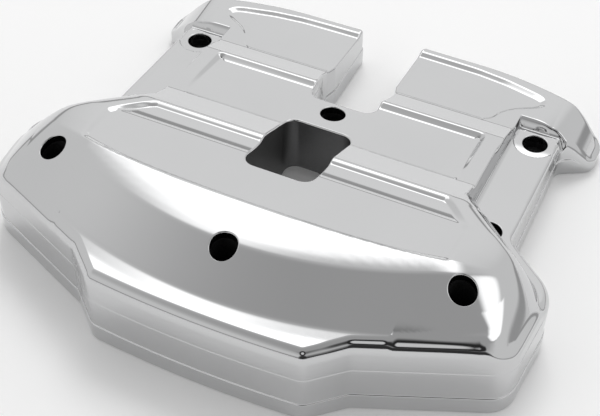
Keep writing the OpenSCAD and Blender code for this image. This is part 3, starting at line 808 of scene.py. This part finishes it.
def top_surface(lip, hole_loops):
    gx, gy = grid_points(TOP_X, TOP_Y, FINE)
    spread = bending(height(gx.ravel(), gy.ravel()).reshape(gx.shape))
    i, j = np.meshgrid(np.arange(gx.shape[0]), np.arange(gx.shape[1]), indexing="ij")
    coarse = (i % COARSE_EVERY == 0) & (j % COARSE_EVERY == 0)
    middle = (i % MIDDLE_EVERY == 0) & (j % MIDDLE_EVERY == 0) & (spread > BENDS)
    keep = coarse | middle | (spread > BENDS_MUCH)
    px, py = gx[keep], gy[keep]
    ok = inside(px, py, lip)
    for loop in hole_loops:
        ok &= ~inside(px, py, loop)
    px, py = px[ok], py[ok]
    loops = [lip] + hole_loops
    ok = ~near(px, py, loops, FREE_OF_LOOPS)
    verts, tri = triangulate(np.stack([px[ok], py[ok]], 1), loops)
    # only triangles between loop points can lie outside the lip or in a hole
    idx = np.nonzero((tri < sum(len(loop) for loop in loops)).all(1))[0]
    c = verts[tri[idx]].mean(1)
    good = inside(c[:, 0], c[:, 1], lip)
    for loop in hole_loops:
        good &= ~inside(c[:, 0], c[:, 1], loop)
    tri = np.delete(tri, idx[~good], 0)
    z = height(verts[:, 0], verts[:, 1])
    patches.add(np.column_stack([verts, z]), tri, top_normals(verts[:, 0], verts[:, 1]), CHROME)


# Underside: the room between the walls, its bosses, and the flat foot
ROOM_IN = 5.1
ROOM_X = 112
ROOM_Y = 98
ROOM_CELL = 2.5
ROOM_FREE = 0.9
CEILING_REACH = 3.0
CEILING_MIN = 6.0
CEILING_TURN = 30
BOSS_POINTS = 40
# Margins that tell on which side of a boss, a screw hole or the window's wall a point lies
BOSS_MARGIN = 0.03
SCREW_MARGIN = 0.02
WINDOW_MARGIN = 0.2
WINDOW_REAR_MARGIN = 0.05


def ceiling(x, y):
    low = height(x, y)
    for a in range(0, 360, CEILING_TURN):
        low = np.minimum(low, height(x + CEILING_REACH * cosd(a), y + CEILING_REACH * sind(a)))
    return np.maximum(low - ROOF, CEILING_MIN)


def clear_of_screws(c, r):
    """Which points lie further than r from every screw's axis."""
    ok = np.ones(len(c), bool)
    for cx, cy in SCREWS:
        ok &= np.hypot(c[:, 0] - cx, c[:, 1] - cy) > r
    return ok


def smooth_normals(v, tri):
    """Normals of a ceiling at its vertices, downwards."""
    n = np.cross(v[tri[:, 1]] - v[tri[:, 0]], v[tri[:, 2]] - v[tri[:, 0]])
    n[n[:, 2] > 0] *= -1
    out = np.zeros_like(v)
    for k in range(3):
        np.add.at(out, tri[:, k], n)
    return out / np.maximum(np.linalg.norm(out, axis=1), 1e-9)[:, None]


def open_edges(tri):
    """Edges that belong to one triangle only, each with that triangle's third corner."""
    edges = np.concatenate([tri[:, [0, 1]], tri[:, [1, 2]], tri[:, [2, 0]]])
    third = np.concatenate([tri[:, 2], tri[:, 0], tri[:, 1]])
    _, first, counts = np.unique(np.sort(edges, 1), axis=0, return_index=True, return_counts=True)
    single = first[counts == 1]
    return edges[single], third[single]


def room_and_foot(foot_edge):
    room = inset(ROOM_IN + np.zeros(len(OUTLINE)))
    wall_loop = window_loop(WALL)
    loops = [room, wall_loop] + [circle(cx, cy, BOSS_R, BOSS_POINTS) for cx, cy in SCREWS]
    gx, gy = grid_points(ROOM_X, ROOM_Y, ROOM_CELL)
    px, py = gx.ravel(), gy.ravel()
    ok = inside(px, py, room) & ~near(px, py, loops, ROOM_FREE)
    verts, tri = triangulate(np.stack([px[ok], py[ok]], 1), loops)
    c = verts[tri].mean(1)
    ok = inside(c[:, 0], c[:, 1], room) & ~inside(c[:, 0], c[:, 1], wall_loop)
    tri = tri[ok & clear_of_screws(c, BOSS_R - BOSS_MARGIN)]
    z = ceiling(verts[:, 0], verts[:, 1])
    v3 = np.column_stack([verts, z])
    patches.add(v3, tri, smooth_normals(v3, tri), CAST)

    # walls down from the ceiling's open edges
    ends, third = open_edges(tri)
    mid = verts[ends].mean(1)
    hw, y0, y1, _ = WINDOW
    on_window = np.abs(mid[:, 0]) < hw + WALL + WINDOW_MARGIN
    on_window &= mid[:, 1] > y0 - WALL - WINDOW_MARGIN
    on_window &= mid[:, 1] < y1 + WALL + WINDOW_REAR_MARGIN
    foot = np.where(on_window, WINDOW_FOOT_Z, 0.0)
    a, b = verts[ends[:, 0]], verts[ends[:, 1]]
    corners = ((a, z[ends[:, 0]]), (b, z[ends[:, 1]]), (b, foot), (a, foot))
    quads = np.stack([np.column_stack(corner) for corner in corners], 1)
    flat = np.stack([-(b - a)[:, 1], (b - a)[:, 0]], 1)
    flat /= np.linalg.norm(flat, axis=1)[:, None]
    inward = ((verts[third] - a) * flat).sum(1)
    flat = flat * np.sign(inward)[:, None]
    normals = np.repeat(np.column_stack([flat, 0 * inward])[:, None], 4, 1)
    patches.add(quads.reshape(-1, 3), np.arange(4 * len(quads)).reshape(-1, 4), normals, CAST)

    # flat foot between the outer wall, the room's walls and the screw holes
    holes = [circle(cx, cy, SCREW_R + SCREW_CHAMFER, BORE_POINTS) for cx, cy in SCREWS]
    used, wall_edges = np.unique(ends[~on_window], return_inverse=True)
    foot_v, foot_t = triangulate(verts[used], [foot_edge] + holes, wall_edges.reshape(-1, 2))
    c = foot_v[foot_t].mean(1)
    in_room = inside(c[:, 0], c[:, 1], room) & clear_of_screws(c, BOSS_R - BOSS_MARGIN)
    solid = inside(c[:, 0], c[:, 1], foot_edge) & ~in_room
    solid &= clear_of_screws(c, SCREW_R + SCREW_CHAMFER - SCREW_MARGIN)
    down = np.tile([0, 0, -1.0], (len(foot_v), 1))
    patches.add(np.column_stack([foot_v, np.zeros(len(foot_v))]), foot_t[solid], down, CAST)


# One mesh from the patches; vertices merge where they round to the same place
MERGE_PER_MM = 2e3


def whole_faces(f, n, tag):
    """Faces whose corners all differ; a quad with one collapsed side becomes a triangle."""
    k = f.shape[1]
    same = np.stack([f[:, i] == f[:, (i + 1) % k] for i in range(k)], 1)
    lots = []
    if k == 4:
        for i in range(k):
            bad = same[:, i] & (same.sum(1) == 1)
            sel = [j for j in range(k) if j != i]
            lots.append((f[bad][:, sel], n[bad][:, sel], tag[bad]))
    whole = ~same.any(1)
    return lots + [(f[whole], n[whole], tag[whole])]


def build_mesh(name):
    v = np.concatenate(patches.v)
    key = np.round(v * MERGE_PER_MM).astype(np.int64)
    _, first, inv = np.unique(key, axis=0, return_index=True, return_inverse=True)
    inv = inv.ravel()
    v = np.clip(v[first], np.array(cad_low) * 1000, np.array(cad_high) * 1000)
    loops, starts, normals, tags, total = [], [], [], [], 0
    for f, n, tag in zip(patches.f, patches.n, patches.tag):
        for lot, lot_n, lot_tag in whole_faces(inv[f], n, tag):
            loops.append(lot.ravel())
            starts.append(total + lot.shape[1] * np.arange(len(lot)))
            normals.append(lot_n.reshape(-1, 3))
            tags.append(lot_tag)
            total += lot.size
    loops, starts = np.concatenate(loops), np.concatenate(starts)
    normals, tags = np.concatenate(normals), np.concatenate(tags)
    mesh = bpy.data.meshes.new(name)
    mesh.vertices.add(len(v))
    mesh.vertices.foreach_set("co", (v * 0.001).astype(np.float32).ravel())
    mesh.loops.add(total)
    mesh.loops.foreach_set("vertex_index", loops.astype(np.int32))
    mesh.polygons.add(len(starts))
    mesh.polygons.foreach_set("loop_start", starts.astype(np.int32))
    mesh.update(calc_edges=True)
    mesh.validate(verbose=False, clean_customdata=False)
    cast = mesh.attributes.new("cast", "FLOAT", "FACE")
    cast.data.foreach_set("value", tags.astype(np.float32))
    mesh.polygons.foreach_set("use_smooth", np.ones(len(starts), bool))
    normals = normals / np.maximum(np.linalg.norm(normals, axis=1), 1e-9)[:, None]
    mesh.normals_split_custom_set(normals.tolist())
    return mesh


lip, foot_edge = skirt_and_rim()
hole_loops = [bore(cx, cy) for cx, cy in SCREWS]
hole_loops.append(window())
top_surface(lip, hole_loops)
room_and_foot(foot_edge)
cover = bpy.data.objects.new("chrome_cover", build_mesh("chrome_cover"))
bpy.context.scene.collection.objects.link(cover)


# Material: polished chrome outside and dull casting inside, by the faces' attribute; the casting's very dark
# tone is partly its own colour and partly painted shade of the window and the screw holes
CHROME_TONES = ((0.60, 0.603, 0.608, 1), (0.63, 0.632, 0.636, 1))
# tones of the dull casting: partly its own colour, partly painted shade, as dark as the shaded window and
# holes look
CAST_AND_SHADE_TONES = ((0.035, 0.035, 0.036, 1), (0.085, 0.085, 0.086, 1))
CHROME_ROUGHNESS = (0.035, 0.075)
CAST_ROUGHNESS = 0.62
BUMP_DISTANCE = 0.0004
BUMP_STRENGTHS = (0.02, 0.35)
# Noises: scale and detail
FOG = (28.0, 4.0)
GRAIN = (900.0, 6.0)
HAZE = (60.0, 5.0)
PEEL = (95.0, 2.0)
HAZE_RANGE = (0.3, 0.7)


def node(tree, kind, **values):
    n = tree.nodes.new(kind)
    for k, v in values.items():
        setattr(n, k, v)
    return n


def noise(tree, coord, scale, detail):
    n = node(tree, "ShaderNodeTexNoise")
    n.inputs["Scale"].default_value = scale
    n.inputs["Detail"].default_value = detail
    tree.links.new(coord.outputs["Object"], n.inputs["Vector"])
    return n.outputs["Fac"]


def tones(tree, value, colours):
    n = node(tree, "ShaderNodeValToRGB")
    for element, colour in zip(n.color_ramp.elements, colours):
        element.color = colour
    tree.links.new(value, n.inputs["Fac"])
    return n.outputs["Color"]


def span(tree, value, low, high, ends, **values):
    """Carries a value from one range to another."""
    n = node(tree, "ShaderNodeMapRange", **values)
    n.inputs["From Min"].default_value = low
    n.inputs["From Max"].default_value = high
    n.inputs["To Min"].default_value = ends[0]
    n.inputs["To Max"].default_value = ends[1]
    tree.links.new(value, n.inputs["Value"])
    return n.outputs["Result"]


def mixed(tree, share, kind, a, b=None):
    n = node(tree, "ShaderNodeMix", data_type=kind)
    tree.links.new(share, n.inputs["Factor"])
    tree.links.new(a, n.inputs["A"])
    if b is not None:
        tree.links.new(b, n.inputs["B"])
    return n


def chrome_material():
    mat = bpy.data.materials.new("polished_chrome")
    mat.use_nodes = True
    t = mat.node_tree
    shader = t.nodes["Principled BSDF"]
    shader.inputs["Metallic"].default_value = 1.0
    coord = node(t, "ShaderNodeTexCoord")
    cast = node(t, "ShaderNodeAttribute", attribute_name="cast").outputs["Fac"]
    grain = noise(t, coord, *GRAIN)
    chrome = tones(t, noise(t, coord, *FOG), CHROME_TONES)
    # the casting's dark tones mixed in here are partly painted shade
    colour = mixed(t, cast, "RGBA", chrome, tones(t, grain, CAST_AND_SHADE_TONES))
    t.links.new(colour.outputs["Result"], shader.inputs["Base Color"])
    # mirror finish with a faint polishing haze, rough inside
    haze = span(t, noise(t, coord, *HAZE), *HAZE_RANGE, CHROME_ROUGHNESS)
    rough = mixed(t, cast, "FLOAT", haze)
    rough.inputs["B"].default_value = CAST_ROUGHNESS
    t.links.new(rough.outputs["Result"], shader.inputs["Roughness"])
    # slow orange peel of the plating, and a coarse grain on the casting inside
    relief = mixed(t, cast, "FLOAT", noise(t, coord, *PEEL), grain)
    bump = node(t, "ShaderNodeBump")
    bump.inputs["Distance"].default_value = BUMP_DISTANCE
    t.links.new(span(t, cast, 0.0, 1.0, BUMP_STRENGTHS), bump.inputs["Strength"])
    t.links.new(relief.outputs["Result"], bump.inputs["Height"])
    t.links.new(bump.outputs["Normal"], shader.inputs["Normal"])
    return mat


cover.data.materials.append(chrome_material())
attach(cover, "root")
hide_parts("cover")


# Floor, lamp, surroundings and camera
FLOOR_HALF = 3.0
FLOOR_Z = -0.0002
FLOOR_LIFT = 0.10
FLOOR_TONE = (0.9, 0.9, 0.9, 1)
FLOOR_ROUGHNESS = 0.9
FLOOR_SPECULAR = 0.1
WHITE = (1, 1, 1, 1)
KEY_PLACE = (-0.3, 1.2, 1.9)
KEY_SIZE = 0.9
KEY_POWER = 12


def floor():
    mesh = bpy.data.meshes.new("floor")
    s = FLOOR_HALF
    mesh.from_pydata([(-s, -s, 0), (s, -s, 0), (s, s, 0), (-s, s, 0)], [], [(0, 1, 2, 3)])
    obj = bpy.data.objects.new("floor", mesh)
    bpy.context.scene.collection.objects.link(obj)
    mat = bpy.data.materials.new("pale_floor")
    mat.use_nodes = True
    t = mat.node_tree
    shader = t.nodes["Principled BSDF"]
    shader.inputs["Base Color"].default_value = FLOOR_TONE
    shader.inputs["Roughness"].default_value = FLOOR_ROUGHNESS
    shader.inputs["Specular IOR Level"].default_value = FLOOR_SPECULAR
    # the floor looks white to the camera and in the metal, and keeps the shadow
    path = node(t, "ShaderNodeLightPath")
    either = node(t, "ShaderNodeMath", operation="MAXIMUM")
    t.links.new(path.outputs["Is Camera Ray"], either.inputs[0])
    t.links.new(path.outputs["Is Glossy Ray"], either.inputs[1])
    lift = node(t, "ShaderNodeMath", operation="MULTIPLY")
    lift.inputs[1].default_value = FLOOR_LIFT
    t.links.new(either.outputs[0], lift.inputs[0])
    shader.inputs["Emission Color"].default_value = WHITE
    t.links.new(lift.outputs[0], shader.inputs["Emission Strength"])
    mesh.materials.append(mat)
    obj.location.z = FLOOR_Z


def softbox(name, place, target, size, power):
    data = bpy.data.lights.new(name, "AREA")
    data.shape = "RECTANGLE"
    data.size, data.size_y = size, size
    data.energy = power
    obj = bpy.data.objects.new(name, data)
    bpy.context.scene.collection.objects.link(obj)
    obj.location = place
    obj.rotation_euler = (Vector(target) - Vector(place)).to_track_quat("-Z", "Y").to_euler()
    obj.visible_glossy = False


# Parts of the surroundings: their directions, how bright they are, and over which reach along a
# direction, or over which height, each fades in (from the first value to the second)
REAR_LEFT = (-0.25, 0.87, 0.42)
REAR_LEFT_FADE = (0.80, 0.985)
REAR_LEVELS = (0.80, 0.96)
OVERHEAD = (0.22, -0.30, 0.93)
OVERHEAD_FADE = (0.53, 0.96)
OVERHEAD_LEVEL = 0.45
VIEWER = (0.27, -0.62, 0.73)
VIEWER_FADE = (0.975, 0.992)
VIEWER_LEVEL = 0.80
GAP_FADE = (0.895, 0.955)
GAP_LEVEL = 0.03
BOX_SIDE = (0.883, 0.469, 0.0)
BOX_LEFT_FADE = (-0.30, -0.10)
BOX_RIGHT_FADE = (0.42, 0.30)
BOX_BEHIND = (-0.469, 0.883, 0.0)
BOX_BEHIND_FADE = (0.22, 0.34)
BOX_BOTTOM_FADE = (0.66, 0.70)
BOX_TOP_FADE = (0.935, 0.85)
BOX_LEVEL = 2.1
SMALL_LAMP = (0.56, 0.30, 0.77)
SMALL_LAMP_FADE = (0.955, 0.993)
SMALL_LAMP_LEVEL = 1.7
HORIZON_BOTTOM_FADE = (0.02, 0.06)
HORIZON_TOP_FADE = (0.17, 0.12)
HORIZON_LEVEL = 0.42
FRONT_RIGHT = (0.45, -0.89, 0.0)
FRONT_RIGHT_FADE = (0.78, 0.92)
FRONT_RIGHT_BOTTOM_FADE = (0.03, 0.08)
FRONT_RIGHT_TOP_FADE = (0.50, 0.42)
FRONT_RIGHT_LEVEL = 0.04


def studio_world():
    """Soft studio round the object: light sides, a white box behind on the left, a darker ceiling."""
    world = bpy.data.worlds.new("studio")
    bpy.context.scene.world = world
    world.use_nodes = True
    t = world.node_tree
    coord = node(t, "ShaderNodeTexCoord")
    split = node(t, "ShaderNodeSeparateXYZ")
    t.links.new(coord.outputs["Generated"], split.inputs["Vector"])
    up = split.outputs["Z"]

    def towards(direction):
        n = node(t, "ShaderNodeVectorMath", operation="DOT_PRODUCT")
        t.links.new(coord.outputs["Generated"], n.inputs[0])
        n.inputs[1].default_value = Vector(direction).normalized()
        return n.outputs["Value"]

    def ramp(value, fade, ends=(0.0, 1.0)):
        return span(t, value, *fade, ends, interpolation_type="SMOOTHSTEP")

    def times(*values):
        out = values[0]
        for v in values[1:]:
            n = node(t, "ShaderNodeMath", operation="MULTIPLY")
            t.links.new(out, n.inputs[0])
            t.links.new(v, n.inputs[1])
            out = n.outputs[0]
        return out

    def blend(value, level, share):
        n = mixed(t, share, "FLOAT", value)
        n.inputs["B"].default_value = level
        return n.outputs["Result"]

    light = ramp(towards(REAR_LEFT), REAR_LEFT_FADE, REAR_LEVELS)
    # darker ceiling, lighter towards the left
    light = blend(light, OVERHEAD_LEVEL, ramp(towards(OVERHEAD), OVERHEAD_FADE))
    # dark gap round the viewer, with a paler middle
    eye = towards(VIEWER)
    light = blend(light, GAP_LEVEL, ramp(eye, GAP_FADE))
    light = blend(light, VIEWER_LEVEL, ramp(eye, VIEWER_FADE))
    # white box behind on the left
    side = towards(BOX_SIDE)
    behind = ramp(towards(BOX_BEHIND), BOX_BEHIND_FADE)
    box = times(ramp(up, BOX_BOTTOM_FADE), ramp(up, BOX_TOP_FADE))
    box = times(box, ramp(side, BOX_LEFT_FADE), ramp(side, BOX_RIGHT_FADE), behind)
    light = blend(light, BOX_LEVEL, box)
    # small white lamp high on the right
    light = blend(light, SMALL_LAMP_LEVEL, ramp(towards(SMALL_LAMP), SMALL_LAMP_FADE))
    # dark band along the horizon, deeper on the right in front
    horizon = times(ramp(up, HORIZON_BOTTOM_FADE), ramp(up, HORIZON_TOP_FADE))
    light = blend(light, HORIZON_LEVEL, horizon)
    front = ramp(towards(FRONT_RIGHT), FRONT_RIGHT_FADE)
    low = times(ramp(up, FRONT_RIGHT_BOTTOM_FADE), ramp(up, FRONT_RIGHT_TOP_FADE), front)
    light = blend(light, FRONT_RIGHT_LEVEL, low)
    back = t.nodes["Background"]
    back.inputs["Color"].default_value = WHITE
    t.links.new(light, back.inputs["Strength"])


# Camera as fitted to the photograph: angles, distance, focal length and image centre in its pixels
CAMERA_TURN = 25.07
CAMERA_RISE = 47.21
CAMERA_DISTANCE = 0.5534
CAMERA_AIM = Vector((0, -0.0015, 0))
SENSOR = 36.0
PHOTO_W = 600.0
PHOTO_H = 416.0
FOCAL_PIXELS = 1253.0
CENTRE_X = 302.3
CENTRE_Y = 209.4


def camera():
    data = bpy.data.cameras.new("camera")
    cam = bpy.data.objects.new("camera", data)
    bpy.context.scene.collection.objects.link(cam)
    flat = cosd(CAMERA_RISE)
    offset = Vector((sind(CAMERA_TURN) * flat, -cosd(CAMERA_TURN) * flat, sind(CAMERA_RISE)))
    cam.location = CAMERA_AIM + offset * CAMERA_DISTANCE
    cam.rotation_euler = (-offset).to_track_quat("-Z", "Y").to_euler()
    data.sensor_width = SENSOR
    data.lens = FOCAL_PIXELS / PHOTO_W * SENSOR
    data.shift_x = (PHOTO_W / 2 - CENTRE_X) / PHOTO_W
    data.shift_y = (CENTRE_Y - PHOTO_H / 2) / PHOTO_W
    data.clip_start = 0.01
    return cam


floor()
softbox("key_box", KEY_PLACE, (0, 0, 0), KEY_SIZE, KEY_POWER)
studio_world()
bpy.context.scene.camera = camera()

bpy.context.scene.view_settings.view_transform = "Standard"
bpy.context.view_layer.update()
